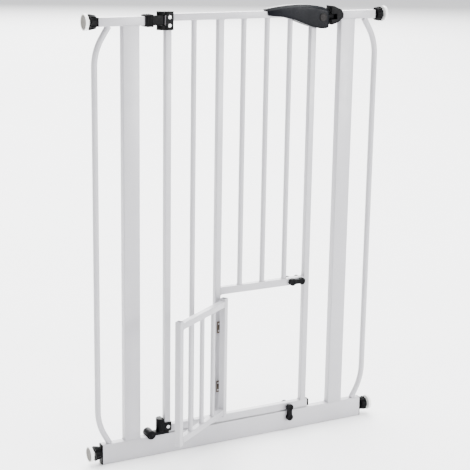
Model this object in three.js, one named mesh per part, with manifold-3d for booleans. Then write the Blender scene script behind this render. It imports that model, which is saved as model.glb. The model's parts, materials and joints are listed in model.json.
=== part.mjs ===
// Walk-through pet gate held between two walls, with a small pet door in its main door.
// Millimetres, +Z up, +X along the gate, -Y towards the side that both doors open to.
// The origin is on the floor, under the middle of the bottom bar.

import * as THREE from 'three';
import { mergeVertices } from 'three/addons/utils/BufferGeometryUtils.js';
import Module from 'manifold-3d';

const wasm = await Module();
wasm.setup();

// ---- driving dimensions ----

// fixed frame
const frameLength = 720;
const frameHeight = 1050;
const frameDeep = 20;
const barTall = 50;
const stubTall = 20;
const uprightWide = 40;
const uprightInset = 77;
const frameWall = 1.2;
const frameCorner = 2;

// side bows
const bowDiameter = 14;
const bowWall = 1.2;
const bowOutset = 8.5;
const bowTopInset = 26;
const bowFootInset = 20;
const bowTopBendDrop = 54;
const bowFootBendRise = 50;
const bowBendReach = 36;

// main door
const hingeAxisInset = 153;
const middleStileX = -58;
const stileWide = 15;
const doorDeep = 15;
const doorProud = 4;
const doorFloorGap = 3;
const topRailTall = 16;
const railTall = 18;
const midRailZ = 390;
const doorBarDiameter = 12.5;
const doorWall = 1;
const doorCorner = 1.5;
const bottomRailPastStile = 4.5;
const railPlugFlange = 5;
const railPlugInsert = 12;

// small pet door
const petGap = 3.3;
const petRailGap = 4;
const petRailTall = 15;
const petRailInset = 5;
const petBarCount = 3;
const petBarDiameter = 11;
const petOpenAngle = 146;
const petHingeTall = 30;
const petHingeRise = 73;
const petHingeDrop = 77;
const knuckleRadius = 3;
const hingePlate = 1.2;
const hingePlateWide = 10;

// turn latches of the pet door
const latchLobe = 9;
const latchPitch = 26;
const latchWaist = 6;
const latchThick = 8;
const latchShaft = 3;
const latchShaftInset = 2;
const latchInset = 43;
const lowerLatchRise = 7.5;
const lowerLatchKnob = 9.5;
const lowerLatchStandOff = 3.5;

// upper hinge
const hingePinRadius = 3;
const clevisRadius = 10;
const clevisDrop = 36;
const clevisRise = 5.5;
const clevisRoof = 1.5;
const capOverlap = 7;
const capCorner = 1.5;
const tongueHalfTall = 11;
const tongueRadius = 8;
const leafCheek = 4.5;
const leafWall = 3;
const leafScrewRise = 10.5;
const leafScrewDrop = 12.5;
const stubToAxis = 29;
const bracketGrip = 14;
const bracketEnd = 6;
const bracketWall = 3;
const bracketCorner = 2.5;
const screwRadius = 1.8;

// lower hinge
const shoePlate = 6;
const shoeToeReach = 29;
const shoeToeRadius = 11;
const shoeToeRise = 4;
const shoeToeProud = 4;
const shoePlatePastStile = 3;
const pegRadius = 4;
const pegTall = 27.7;
const socketRadius = 11;
const socketTall = 21;
const socketFloor = 3;
const sleeveOverlap = 4;
const sleeveWall = 2;
const sleeveCorner = 2;
const postTall = 32;

// handle, its block and the bolt
const pivotInset = 153;
const pivotPastStile = 10.5;
const pivotDrop = 17;
const pivotRadius = 3;
const pivotHeadRadius = 9;
const pivotHeadProud = 2;
const handleHalfDeep = 18;
const handleReach = 160;
const blockRadius = 17.5;
const blockDrop = 23;
const boltRetract = 14;
const boltTall = 16;
const boltTipTall = 10;
const boltDeep = 8;
const boltReach = 41;
const boltShoulder = 2;
const boltTailGap = 1.5;

// catch on the right stub
const catchOverlap = 14.5;
const catchWide = 34.5;
const catchCheek = 3;
const catchBackWall = 4;
const catchWeb = 2.5;
const catchPocketGap = 3.5;

// wall fixings
const spindleRadius = 5;
const spindleLength = 74;
const lowerSpindleRise = 4;
const neckRadius = 10;
const neckLength = 5;
const flangeThick = 2;
const insertDeep = 16;
const nutRadius = 18;
const nutGroove = 1.6;
const nutLobes = 12;
const nutLength = 14;
const padRadius = 18.5;
const padThick = 7;
const padSocket = 4;
const padOutset = 32.5;

// clearances, and how far joined or cutting solids run past each other
const weldGap = 0.3;
const pressGap = 0.05;
const runGap = 0.2;
const slideGap = 0.5;
const swingGap = 1;
const runOver = 1;

// ---- derived places ----

const halfLength = frameLength / 2;
const stubLow = frameHeight - stubTall;
const stubZ = frameHeight - stubTall / 2;
const lowerSpindleZ = barTall / 2 + lowerSpindleRise;
const uprightX = halfLength - uprightInset;
const bowX = halfLength + bowOutset;
const bowTopX = halfLength - bowTopInset;
const bowFootX = halfLength - bowFootInset;
const padOuterX = halfLength + padOutset;

const hingeAxisX = hingeAxisInset - halfLength;
const hingeStileX = hingeAxisX + tongueRadius + slideGap + stileWide / 2;
const pivotX = halfLength - pivotInset;
const latchStileX = pivotX - pivotPastStile - stileWide / 2;
const leftStubEndX = hingeAxisX - stubToAxis;
const doorTop = frameHeight + doorProud;
const doorBottom = barTall + doorFloorGap;
const bottomRailTop = doorBottom + railTall;
const topRailLow = doorTop - topRailTall;
const midRailLow = midRailZ - railTall / 2;
const midRailHigh = midRailZ + railTall / 2;

const clevisLow = doorTop - clevisDrop;
const clevisHigh = doorTop + clevisRise;
const tongueLow = stubZ - tongueHalfTall;
const tongueHigh = stubZ + tongueHalfTall;
const leafHalfDeep = doorDeep / 2 + leafCheek;
const bracketLeftX = leftStubEndX - bracketGrip;
const shoeTop = barTall + weldGap + shoePlate;
const shoeToeX = hingeAxisX - shoeToeReach;
const shoePlateRightX = hingeStileX + shoePlatePastStile;
const socketLow = shoeTop + swingGap;
const pegTop = shoeTop + pegTall;

const pivotZ = doorTop - pivotDrop;
const handleRoofZ = doorTop + swingGap;
const boltTipX = pivotX + boltReach;
const catchLeftX = boltTipX - catchOverlap;
const catchHalfDeep = frameDeep / 2 + catchCheek;
const rightStubEndX = boltTipX + catchWeb + catchPocketGap;

const petAxisX = middleStileX + stileWide / 2 + petGap / 2;
const petAxisY = -(doorDeep / 2 + knuckleRadius);
const petLow = bottomRailTop + petRailGap;
const petHigh = midRailLow - petRailGap;
const petRightX = latchStileX - stileWide / 2 - petGap;
const petLeftX = middleStileX + stileWide / 2 + petGap;
const petHingeHeights = [petLow + petHingeRise, petHigh - petHingeDrop];
const latchX = latchStileX - latchInset;
const lowerLatchZ = doorBottom + lowerLatchRise;

// ---- colours ----

const powderWhite = [0xf1f0f3, 0.42, 0.1];
const blackPlastic = [0x17181d, 0.35, 0];
const handlePlastic = [0x10131c, 0.2, 0];
const zinc = [0xb9bcc0, 0.35, 0.9];
const padWhite = [0xe9e8e6, 0.55, 0];

const gate = new THREE.Group();

function add(name, geometry, [color, roughness, metalness], parent = gate) {
  const mesh = new THREE.Mesh(geometry, new THREE.MeshStandardMaterial({ color, roughness, metalness }));
  mesh.name = name;
  parent.add(mesh);
}

// ---- shape helpers ----

// three.js gives an arc twice this many straight pieces
const cornerSegments = 1;
const roundSegments = 6;

function toSolid(geometry) {
  const bare = geometry.clone();
  bare.deleteAttribute('normal');
  bare.deleteAttribute('uv');
  const merged = mergeVertices(bare, 1e-4);
  return new wasm.Manifold(new wasm.Mesh({
    numProp: 3,
    vertProperties: new Float32Array(merged.attributes.position.array),
    triVerts: new Uint32Array(merged.index.array),
  }));
}

function toGeometry(solid) {
  const mesh = solid.getMesh();
  const geometry = new THREE.BufferGeometry();
  geometry.setAttribute('position', new THREE.BufferAttribute(mesh.vertProperties, 3));
  geometry.setIndex(new THREE.BufferAttribute(mesh.triVerts, 1));
  return geometry;
}

function join(...pieces) {
  return toGeometry(pieces.map(toSolid).reduce((whole, piece) => whole.add(piece)));
}

function cut(body, ...tools) {
  return toGeometry(tools.map(toSolid).reduce((left, tool) => left.subtract(tool), toSolid(body)));
}

function extrude(outline, length, curveSegments) {
  return new THREE.ExtrudeGeometry(outline, { depth: length, bevelEnabled: false, curveSegments });
}

// an outline in X and Y, drawn out along Z
function alongZ(outline, low, high, segments = cornerSegments) {
  return extrude(outline, high - low, segments).translate(0, 0, low);
}

// an outline in Y and Z, drawn out along X
function alongX(outline, low, high, segments = cornerSegments) {
  const turn = new THREE.Matrix4().makeBasis(
    new THREE.Vector3(0, 1, 0), new THREE.Vector3(0, 0, 1), new THREE.Vector3(1, 0, 0));
  return extrude(outline, high - low, segments).applyMatrix4(turn).translate(low, 0, 0);
}

// an outline in X and Z, drawn out along Y
function alongY(outline, low, high, segments = roundSegments) {
  const turn = new THREE.Matrix4().makeBasis(
    new THREE.Vector3(1, 0, 0), new THREE.Vector3(0, 0, 1), new THREE.Vector3(0, -1, 0));
  return extrude(outline, high - low, segments).applyMatrix4(turn).translate(0, high, 0);
}

function box(x0, x1, y0, y1, z0, z1) {
  return new THREE.BoxGeometry(x1 - x0, y1 - y0, z1 - z0)
    .translate((x0 + x1) / 2, (y0 + y1) / 2, (z0 + z1) / 2);
}

function roundBox(centreU, centreV, wide, tall, radius, shape = new THREE.Shape()) {
  const left = centreU - wide / 2;
  const right = centreU + wide / 2;
  const low = centreV - tall / 2;
  const high = centreV + tall / 2;
  shape.moveTo(left + radius, low);
  shape.lineTo(right - radius, low);
  shape.absarc(right - radius, low + radius, radius, -Math.PI / 2, 0);
  shape.lineTo(right, high - radius);
  shape.absarc(right - radius, high - radius, radius, 0, Math.PI / 2);
  shape.lineTo(left + radius, high);
  shape.absarc(left + radius, high - radius, radius, Math.PI / 2, Math.PI);
  shape.lineTo(left, low + radius);
  shape.absarc(left + radius, low + radius, radius, Math.PI, 1.5 * Math.PI);
  return shape;
}

function tubeOutline(centreU, centreV, wide, tall, wall, radius) {
  const shape = roundBox(centreU, centreV, wide, tall, radius);
  const inner = Math.max(radius - wall, 0.3);
  shape.holes.push(roundBox(centreU, centreV, wide - 2 * wall, tall - 2 * wall, inner, new THREE.Path()));
  return shape;
}

function polygon(points) {
  return new THREE.Shape(points.map(([u, v]) => new THREE.Vector2(u, v)));
}

function rod(axis, radius, from, to, centre, sides = 24) {
  const geometry = new THREE.CylinderGeometry(radius, radius, to - from, sides);
  if (axis === 'x') geometry.rotateZ(-Math.PI / 2);
  if (axis === 'z') geometry.rotateX(Math.PI / 2);
  const middle = (from + to) / 2;
  const [u, v] = centre;
  if (axis === 'x') return geometry.translate(middle, u, v);
  if (axis === 'y') return geometry.translate(u, middle, v);
  return geometry.translate(u, v, middle);
}

// ---- fixed frame ----

const frameTube = [frameWall, frameCorner];

function bottomBar() {
  const outline = tubeOutline(0, barTall / 2, frameDeep, barTall, ...frameTube);
  return alongX(outline, -halfLength, halfLength);
}

function upright(side) {
  const outline = tubeOutline(side * uprightX, 0, uprightWide, frameDeep, ...frameTube);
  return alongZ(outline, barTall + weldGap, stubLow - weldGap);
}

function topStub(innerX, outerX) {
  const outline = tubeOutline(0, stubZ, frameDeep, stubTall, ...frameTube);
  return alongX(outline, Math.min(innerX, outerX), Math.max(innerX, outerX));
}

function bowPath(side) {
  const point = (x, z) => new THREE.Vector3(side * x, 0, z);
  const foot = point(bowFootX, barTall);
  const head = point(bowTopX, stubLow);
  const footBend = point(bowX, barTall + bowFootBendRise);
  const headBend = point(bowX, stubLow - bowTopBendDrop);
  const towards = (from, to) => from.clone().add(to.clone().sub(from).setLength(bowBendReach));
  const path = new THREE.CurvePath();
  path.add(new THREE.LineCurve3(foot, towards(footBend, foot)));
  path.add(new THREE.QuadraticBezierCurve3(towards(footBend, foot), footBend, towards(footBend, headBend)));
  path.add(new THREE.LineCurve3(towards(footBend, headBend), towards(headBend, footBend)));
  path.add(new THREE.QuadraticBezierCurve3(towards(headBend, footBend), headBend, towards(headBend, head)));
  path.add(new THREE.LineCurve3(towards(headBend, head), head));
  return path;
}

// a bent round tube, cut level where it meets the bar and the stub
function bow(side) {
  const ring = new THREE.Shape().absarc(0, 0, bowDiameter / 2, 0, 2 * Math.PI);
  ring.holes.push(new THREE.Path().absarc(0, 0, bowDiameter / 2 - bowWall, 0, 2 * Math.PI));
  const tube = new THREE.ExtrudeGeometry(ring, { steps: 40, curveSegments: 5, extrudePath: bowPath(side) });
  const reach = bowX + bowDiameter;
  const below = box(-reach, reach, -frameDeep, frameDeep, 0, barTall + weldGap);
  const above = box(-reach, reach, -frameDeep, frameDeep, stubLow - weldGap, frameHeight);
  return cut(tube, below, above);
}

// a plug for a tube end: an insert, a flange and a neck that the nut bears on
function endPlug(side, z, insideTall, outsideTall, insertZ) {
  const insideDeep = frameDeep - 2 * frameWall - 2 * pressGap;
  const sortX = (a, b) => [Math.min(side * a, side * b), Math.max(side * a, side * b)];
  const insert = alongX(roundBox(0, insertZ, insideDeep, insideTall, frameCorner - frameWall),
    ...sortX(halfLength - insertDeep, halfLength + runOver));
  const flangeFrom = halfLength + pressGap;
  const flange = alongX(roundBox(0, insertZ, frameDeep, outsideTall, frameCorner),
    ...sortX(flangeFrom, flangeFrom + flangeThick));
  const neck = rod('x', neckRadius, ...sortX(halfLength + runOver, halfLength + neckLength), [0, z]);
  const bore = rod('x', spindleRadius + runGap,
    ...sortX(halfLength - insertDeep - runOver, halfLength + neckLength + runOver), [0, z]);
  return cut(join(insert, flange, neck), bore);
}

function stubPlug(side) {
  return endPlug(side, stubZ, stubTall - 2 * frameWall - 2 * pressGap, stubTall, stubZ);
}

function barPlug(side) {
  return endPlug(side, lowerSpindleZ, barTall - 2 * frameWall - 2 * pressGap, barTall, barTall / 2);
}

// ---- hinges of the main door ----

function roundNosed(axisX, radius, farX) {
  const shape = new THREE.Shape();
  const quarter = Math.PI / 2;
  if (farX < axisX) {
    shape.moveTo(farX, -radius);
    shape.lineTo(axisX, -radius);
    shape.absarc(axisX, 0, radius, -quarter, quarter);
    shape.lineTo(farX, radius);
    return shape;
  }
  shape.moveTo(farX, radius);
  shape.lineTo(axisX, radius);
  shape.absarc(axisX, 0, radius, quarter, 3 * quarter);
  shape.lineTo(farX, -radius);
  return shape;
}

// a sleeve over the left stub's end, with the tongue that the hinge pin passes through
function upperHingeBracket() {
  const sleeveRightX = leftStubEndX + bracketEnd;
  const sleeveOutline = roundBox(0, stubZ, frameDeep + 2 * bracketWall, stubTall + 2 * bracketWall, bracketCorner);
  const sleeve = alongX(sleeveOutline, bracketLeftX, sleeveRightX);
  const tongue = alongZ(roundNosed(hingeAxisX, tongueRadius, sleeveRightX - runOver),
    tongueLow, tongueHigh, roundSegments);
  const pocketDeep = frameDeep / 2 + pressGap;
  const pocketTall = stubTall / 2 + pressGap;
  const pocket = box(bracketLeftX - runOver, leftStubEndX + pressGap, -pocketDeep, pocketDeep,
    stubZ - pocketTall, stubZ + pocketTall);
  const bore = rod('z', hingePinRadius + runGap, tongueLow - runOver, tongueHigh + runOver, [hingeAxisX, 0]);
  return cut(join(sleeve, tongue), pocket, bore);
}

const leafRightX = hingeStileX + stileWide / 2 + leafWall;
const leafScrewHeights = [clevisLow + leafScrewRise, clevisHigh - leafScrewDrop];

// the cap on the door's corner, whose two cheeks hold the hinge pin
function upperHingeLeaf() {
  const cheeks = alongZ(roundNosed(hingeAxisX, clevisRadius, hingeAxisX + clevisRadius),
    clevisLow, clevisHigh, roundSegments);
  const capLeftX = hingeAxisX + capOverlap;
  const capWide = leafRightX - capLeftX;
  const capOutline = roundBox(capLeftX + capWide / 2, 0, capWide, 2 * leafHalfDeep, capCorner);
  const cap = alongZ(capOutline, clevisLow, clevisHigh);
  const gapRightX = hingeAxisX + tongueRadius + swingGap;
  const slot = box(hingeAxisX - clevisRadius - runOver, gapRightX,
    -leafHalfDeep - runOver, leafHalfDeep + runOver, tongueLow - slideGap, tongueHigh + slideGap);
  const halfWide = stileWide / 2 + pressGap;
  const halfDeep = doorDeep / 2 + pressGap;
  const stilePocket = box(hingeStileX - halfWide, hingeStileX + halfWide, -halfDeep, halfDeep,
    clevisLow - runOver, doorTop + pressGap);
  const railMouth = box(hingeStileX, leafRightX + runOver, -halfDeep, halfDeep,
    topRailLow - pressGap, doorTop + pressGap);
  const bore = rod('z', hingePinRadius + pressGap, clevisLow - runOver, clevisHigh - clevisRoof,
    [hingeAxisX, 0]);
  const screwHoles = leafScrewHeights.map((z) =>
    rod('y', screwRadius + runGap, -leafHalfDeep - runOver, 0, [hingeStileX, z]));
  return cut(join(cheeks, cap), slot, stilePocket, railMouth, bore, ...screwHoles);
}

// a shoe on the bottom bar, with a round toe over the bar's edge and the peg that the door turns on
function lowerHingeShoe() {
  const toeZ = barTall + shoeToeRise;
  const toeHalfDeep = frameDeep / 2 + shoeToeProud;
  const toe = rod('y', shoeToeRadius, -toeHalfDeep, toeHalfDeep, [shoeToeX, toeZ]);
  const plate = box(shoeToeX, shoePlateRightX, -frameDeep / 2, frameDeep / 2, barTall + weldGap, shoeTop);
  const peg = rod('z', pegRadius, shoeTop - runOver, pegTop, [hingeAxisX, 0]);
  const halfBar = frameDeep / 2 + weldGap;
  const saddle = box(shoeToeX - 2 * shoeToeRadius, shoePlateRightX + runOver, -halfBar, halfBar,
    0, barTall + weldGap);
  return cut(join(toe, plate, peg), saddle);
}

// the boot on the hinge stile's foot: a sleeve round the stile and a post round the peg
function lowerHingeSocket() {
  const leftX = hingeAxisX + sleeveOverlap;
  const rightX = hingeStileX + stileWide / 2 + sleeveWall;
  const sleeve = alongZ(roundBox((leftX + rightX) / 2, 0, rightX - leftX, 2 * socketRadius, sleeveCorner),
    socketLow, socketLow + socketTall);
  const post = alongZ(roundNosed(hingeAxisX, socketRadius, leftX + runOver),
    socketLow, socketLow + postTall, roundSegments);
  const bore = rod('z', pegRadius + runGap, socketLow - runOver, pegTop + swingGap, [hingeAxisX, 0]);
  const halfWide = stileWide / 2 + pressGap;
  const halfDeep = doorDeep / 2 + pressGap;
  const pocket = box(hingeStileX - halfWide, hingeStileX + halfWide, -halfDeep, halfDeep,
    socketLow + socketFloor, socketLow + postTall + runOver);
  const railMouth = box(hingeStileX, rightX + runOver, -halfDeep, halfDeep,
    socketLow - runOver, bottomRailTop + pressGap);
  const screwHole = rod('y', screwRadius + runGap, -socketRadius - runOver, 0, [hingeStileX, socketScrewZ]);
  return cut(join(sleeve, post), bore, pocket, railMouth, screwHole);
}

const socketScrewZ = socketLow + socketTall / 2;

// ---- main door ----

const doorTube = [doorWall, doorCorner];

// a stile is drilled from the front where a hinge screw enters it
function doorStile(x, low, high, screwHeights = []) {
  const stile = alongZ(tubeOutline(x, 0, stileWide, doorDeep, ...doorTube), low, high);
  if (screwHeights.length === 0) return stile;
  const holes = screwHeights.map((z) => rod('y', screwRadius + runGap, -doorDeep, 0, [x, z]));
  return cut(stile, ...holes);
}

function doorRail(z, tall, low, high) {
  return alongX(tubeOutline(0, z, doorDeep, tall, ...doorTube), low, high);
}

function drilledRail(z, low, high, holeX, holeZ) {
  const hole = rod('y', latchShaft + runGap, -doorDeep, doorDeep, [holeX, holeZ]);
  return cut(doorRail(z, railTall, low, high), hole);
}

function roundBar(x, y, diameter, low, high) {
  const ring = new THREE.Shape().absarc(x, y, diameter / 2, 0, 2 * Math.PI);
  ring.holes.push(new THREE.Path().absarc(x, y, diameter / 2 - doorWall, 0, 2 * Math.PI));
  return alongZ(ring, low, high, roundSegments);
}

// a plug in the right end of the bottom rail
function railPlug() {
  const endX = latchStileX + stileWide / 2 + bottomRailPastStile;
  const z = doorBottom + railTall / 2;
  const flange = alongX(roundBox(0, z, doorDeep, railTall, doorCorner), endX + pressGap, endX + railPlugFlange);
  const inside = 2 * doorWall + 2 * pressGap;
  const insert = alongX(roundBox(0, z, doorDeep - inside, railTall - inside, doorCorner - doorWall),
    endX - railPlugInsert, endX + runOver);
  return join(flange, insert);
}

// ---- handle, block and bolt ----

// the plastic block on the latch corner that the handle turns on and the bolt slides in
function latchBlock() {
  const leftX = latchStileX + stileWide / 2 + weldGap;
  const rounded = rod('y', blockRadius, -doorDeep / 2, doorDeep / 2, [pivotX, pivotZ], 40);
  const body = box(leftX, pivotX, -doorDeep / 2, doorDeep / 2,
    pivotZ - blockDrop, pivotZ + blockRadius - runOver);
  const shave = box(leftX - 2 * blockRadius, leftX, -doorDeep, doorDeep,
    pivotZ - 2 * blockRadius, pivotZ + 2 * blockRadius);
  const channel = box(leftX + slideGap, pivotX + 2 * blockRadius,
    -boltDeep / 2 - slideGap, boltDeep / 2 + slideGap,
    pivotZ - boltTall / 2 - slideGap, pivotZ + boltTall / 2 + slideGap);
  const bore = rod('y', pivotRadius + runGap, -doorDeep, doorDeep, [pivotX, pivotZ]);
  return cut(join(rounded, body), shave, channel, bore);
}

// a forked bolt that straddles the pivot pin; its tip reaches into the catch
function latchBolt() {
  const tailX = latchStileX + stileWide / 2 + boltTailGap + boltRetract;
  const shoulderX = pivotX + blockRadius + boltShoulder;
  const body = box(tailX, shoulderX, -boltDeep / 2, boltDeep / 2, pivotZ - boltTall / 2, pivotZ + boltTall / 2);
  const tip = box(shoulderX - runOver, boltTipX, -boltDeep / 2, boltDeep / 2,
    pivotZ - boltTipTall / 2, pivotZ + boltTipTall / 2);
  const forkHalf = pivotRadius + slideGap;
  const fork = box(tailX - runOver, pivotX + boltRetract + forkHalf, -boltDeep, boltDeep,
    pivotZ - forkHalf, pivotZ + forkHalf);
  return cut(join(body, tip), fork);
}

// the lever's side view, measured from the pivot: a long nose over the rail, swelling to the pivot end
function handleOutline() {
  const shape = new THREE.Shape();
  shape.moveTo(-153, 12);
  shape.quadraticCurveTo(-107, 31, -57, 31);
  shape.quadraticCurveTo(-17, 30.5, 7, 23);
  shape.quadraticCurveTo(19, 19, 20, 13);
  shape.lineTo(20, -17);
  shape.quadraticCurveTo(19, -27, 5, -27.5);
  shape.quadraticCurveTo(-17, -27.5, -41, -18);
  shape.quadraticCurveTo(-87, 2, -119, 4);
  shape.lineTo(-151, 6);
  return shape;
}

function handleLever() {
  const body = alongY(handleOutline(), -handleHalfDeep, handleHalfDeep).translate(pivotX, 0, pivotZ);
  const halfChannel = doorDeep / 2 + swingGap;
  const channel = box(pivotX - handleReach, pivotX + handleReach, -halfChannel, halfChannel,
    pivotZ - handleReach, handleRoofZ);
  const bore = rod('y', pivotRadius + pressGap, -handleHalfDeep - runOver, handleHalfDeep + runOver,
    [pivotX, pivotZ]);
  return cut(body, channel, bore);
}

function pivotPin() {
  const head = rod('y', pivotHeadRadius, -handleHalfDeep - pivotHeadProud, -handleHalfDeep - pressGap,
    [pivotX, pivotZ], 32);
  const shaft = rod('y', pivotRadius, -handleHalfDeep - runOver, handleHalfDeep - runOver, [pivotX, pivotZ]);
  return join(head, shaft);
}

// a hood over the right stub's end; its slot is open to the front, so the bolt swings out with the door
function latchCatch() {
  const outline = polygon([
    [0, 26], [7.5, 25], [28.5, 16.5], [catchWide, 7], [catchWide, -3], [19.5, -14], [4.5, -19], [0, -19],
  ]);
  const body = alongY(outline, -catchHalfDeep, catchHalfDeep).translate(catchLeftX, 0, pivotZ);
  const slotHalf = boltTipTall / 2 + swingGap;
  const slot = box(catchLeftX - runOver, boltTipX + swingGap,
    -catchHalfDeep - runOver, catchHalfDeep - catchBackWall,
    pivotZ - slotHalf, pivotZ + slotHalf);
  const halfDeep = frameDeep / 2 + pressGap;
  const halfTall = stubTall / 2 + pressGap;
  const pocket = box(rightStubEndX - pressGap, catchLeftX + catchWide + runOver, -halfDeep, halfDeep,
    stubZ - halfTall, stubZ + halfTall);
  return cut(body, slot, pocket);
}

// ---- pet door ----

// built closed in its opening, then turned open about its hinge line
const petDoor = new THREE.Group();
petDoor.position.set(petAxisX, petAxisY, 0);
petDoor.rotation.z = -petOpenAngle * Math.PI / 180;
gate.add(petDoor);

const petFromAxis = (x) => x - petAxisX;
const petMidY = -petAxisY;

function petStile(centreX) {
  const outline = tubeOutline(petFromAxis(centreX), petMidY, stileWide, doorDeep, ...doorTube);
  return alongZ(outline, petLow, petHigh);
}

function petRail(z, low, high) {
  const outline = tubeOutline(petMidY, z, doorDeep, petRailTall, ...doorTube);
  return alongX(outline, petFromAxis(low), petFromAxis(high));
}

// knuckles in three lengths: the fixed leaf has the outer two and the pin, the moving leaf the middle one
function hingeLeaf(z, fixed) {
  const third = petHingeTall / 3;
  const low = z - petHingeTall / 2;
  const inner = petGap / 2;
  const plateX = fixed ? [-inner - hingePlateWide, runOver - inner] : [inner - runOver, inner + hingePlateWide];
  const plateY = [knuckleRadius - weldGap - hingePlate, knuckleRadius - weldGap];
  const turns = fixed ? [0, 2] : [1];
  const barrels = turns.map((turn) => rod('z', knuckleRadius - weldGap,
    low + turn * third + runGap, low + (turn + 1) * third - runGap, [0, 0], 16));
  const straps = turns.map((turn) => box(...plateX, ...plateY,
    low + turn * third + runGap, low + (turn + 1) * third - runGap));
  const edge = fixed ? [plateX[0], -knuckleRadius - runGap] : [knuckleRadius + runGap, plateX[1]];
  const plate = box(...edge, ...plateY, low + runGap, low + petHingeTall - runGap);
  if (fixed) {
    const pin = rod('z', knuckleRadius / 2, low + runOver, low + petHingeTall - runOver, [0, 0], 16);
    return join(plate, ...straps, ...barrels, pin);
  }
  const bore = rod('z', knuckleRadius / 2 + runGap, low, low + petHingeTall, [0, 0], 16);
  return cut(join(plate, ...straps, ...barrels), bore);
}

// ---- turn latches ----

// two round lobes joined by a narrower waist; the first lobe is on the shaft
function butterfly(x, z, towardX, towardZ, nearY, farY) {
  const first = rod('y', latchLobe, nearY, farY, [x, z]);
  const second = rod('y', latchLobe, nearY, farY, [x + towardX * latchPitch, z + towardZ * latchPitch]);
  const waistX = [x - towardZ * latchWaist, x + towardX * latchPitch + towardZ * latchWaist];
  const waistZ = [z - towardX * latchWaist, z + towardZ * latchPitch + towardX * latchWaist];
  const sorted = (pair) => [Math.min(...pair), Math.max(...pair)];
  return join(first, second, box(...sorted(waistX), nearY, farY, ...sorted(waistZ)));
}

const latchFace = doorDeep / 2 + slideGap;

function latchShaftRod(x, z, frontY) {
  return rod('y', latchShaft, frontY, latchFace + latchThick - latchShaftInset, [x, z]);
}

function bored(piece, x, z) {
  const shaftEnd = latchFace + latchThick - latchShaftInset;
  return cut(piece, rod('y', latchShaft + pressGap, latchFace - runOver, shaftEnd + pressGap, [x, z]));
}

// ---- wall fixings ----

function spindle(side, z) {
  const outer = padOuterX - padThick + padSocket - pressGap;
  const ends = side > 0 ? [outer - spindleLength, outer] : [-outer, spindleLength - outer];
  return rod('x', spindleRadius, ...ends, [0, z]);
}

function nut(side, z) {
  const outline = new THREE.Shape();
  const steps = nutLobes * 4;
  for (let i = 0; i < steps; i++) {
    const angle = 2 * Math.PI * i / steps;
    const radius = nutRadius - nutGroove * (0.5 - 0.5 * Math.cos(nutLobes * angle));
    const place = [radius * Math.cos(angle), z + radius * Math.sin(angle)];
    if (i === 0) outline.moveTo(...place);
    else outline.lineTo(...place);
  }
  outline.holes.push(new THREE.Path().absarc(0, z, spindleRadius + runGap, 0, 2 * Math.PI));
  const inner = halfLength + neckLength + runGap;
  const ends = side > 0 ? [inner, inner + nutLength] : [-inner - nutLength, -inner];
  return alongX(outline, ...ends, 2 * roundSegments);
}

// a round foot with a pocket for the spindle's end
function wallPad(side, z) {
  const pocket = spindleRadius + pressGap;
  const profile = [
    [0, 0], [padRadius - 1, 0], [padRadius, 1], [padRadius, padThick - 1.5], [padRadius - 1.5, padThick],
    [pocket, padThick], [pocket, padThick - padSocket], [0, padThick - padSocket],
  ].map(([radius, height]) => new THREE.Vector2(radius, height));
  const pad = new THREE.LatheGeometry(profile, 36);
  pad.rotateZ(side > 0 ? Math.PI / 2 : -Math.PI / 2);
  return pad.translate(side * padOuterX, 0, z);
}

// ---- assembly ----

const sides = [['left', -1], ['right', 1]];

add('bottom_bar', bottomBar(), powderWhite);
add('left_top_stub', topStub(leftStubEndX, -halfLength), powderWhite);
add('right_top_stub', topStub(rightStubEndX, halfLength), powderWhite);
for (const [name, side] of sides) {
  add(`${name}_upright`, upright(side), powderWhite);
  add(`${name}_bow`, bow(side), powderWhite);
  add(`${name}_stub_plug`, stubPlug(side), blackPlastic);
  add(`${name}_bar_plug`, barPlug(side), blackPlastic);
  for (const [level, z] of [['upper', stubZ], ['lower', lowerSpindleZ]]) {
    add(`${name}_${level}_spindle`, spindle(side, z), zinc);
    add(`${name}_${level}_nut`, nut(side, z), blackPlastic);
    add(`${name}_${level}_wall_pad`, wallPad(side, z), padWhite);
  }
}

add('upper_hinge_bracket', upperHingeBracket(), blackPlastic);
add('upper_hinge_pin', rod('z', hingePinRadius, clevisLow + slideGap, clevisHigh - clevisRoof - slideGap,
  [hingeAxisX, 0]), zinc);
add('lower_hinge_shoe', lowerHingeShoe(), blackPlastic);
add('latch_catch', latchCatch(), blackPlastic);

const hingeStileRight = hingeStileX + stileWide / 2 + weldGap;
const middleStileRight = middleStileX + stileWide / 2 + weldGap;
const latchStileLeft = latchStileX - stileWide / 2 - weldGap;
const latchStileRight = latchStileX + stileWide / 2;

add('door_hinge_stile', doorStile(hingeStileX, socketLow + socketFloor + pressGap, doorTop,
  [...leafScrewHeights, socketScrewZ]), powderWhite);
add('door_middle_stile', doorStile(middleStileX, bottomRailTop + weldGap, topRailLow - weldGap), powderWhite);
add('door_latch_stile', doorStile(latchStileX, bottomRailTop + weldGap, topRailLow - weldGap), powderWhite);
add('door_top_rail', doorRail(doorTop - topRailTall / 2, topRailTall, hingeStileRight, latchStileRight),
  powderWhite);
add('door_mid_rail', drilledRail(midRailZ, middleStileRight, latchStileLeft, latchX, midRailZ), powderWhite);
add('door_bottom_rail', drilledRail(doorBottom + railTall / 2, hingeStileRight,
  latchStileRight + bottomRailPastStile, latchX, lowerLatchZ), powderWhite);
add('door_rail_plug', railPlug(), blackPlastic);

const barHead = topRailLow - weldGap;
const hingeBarX = (hingeStileX + middleStileX) / 2;
add('door_bar_1', roundBar(hingeBarX, 0, doorBarDiameter, bottomRailTop + weldGap, barHead), powderWhite);
for (let i = 1; i <= 3; i++) {
  const x = middleStileX + (latchStileX - middleStileX) * i / 4;
  add(`door_bar_${i + 1}`, roundBar(x, 0, doorBarDiameter, midRailHigh + weldGap, barHead), powderWhite);
}

add('upper_hinge_leaf', upperHingeLeaf(), blackPlastic);
add('lower_hinge_socket', lowerHingeSocket(), blackPlastic);

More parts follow.
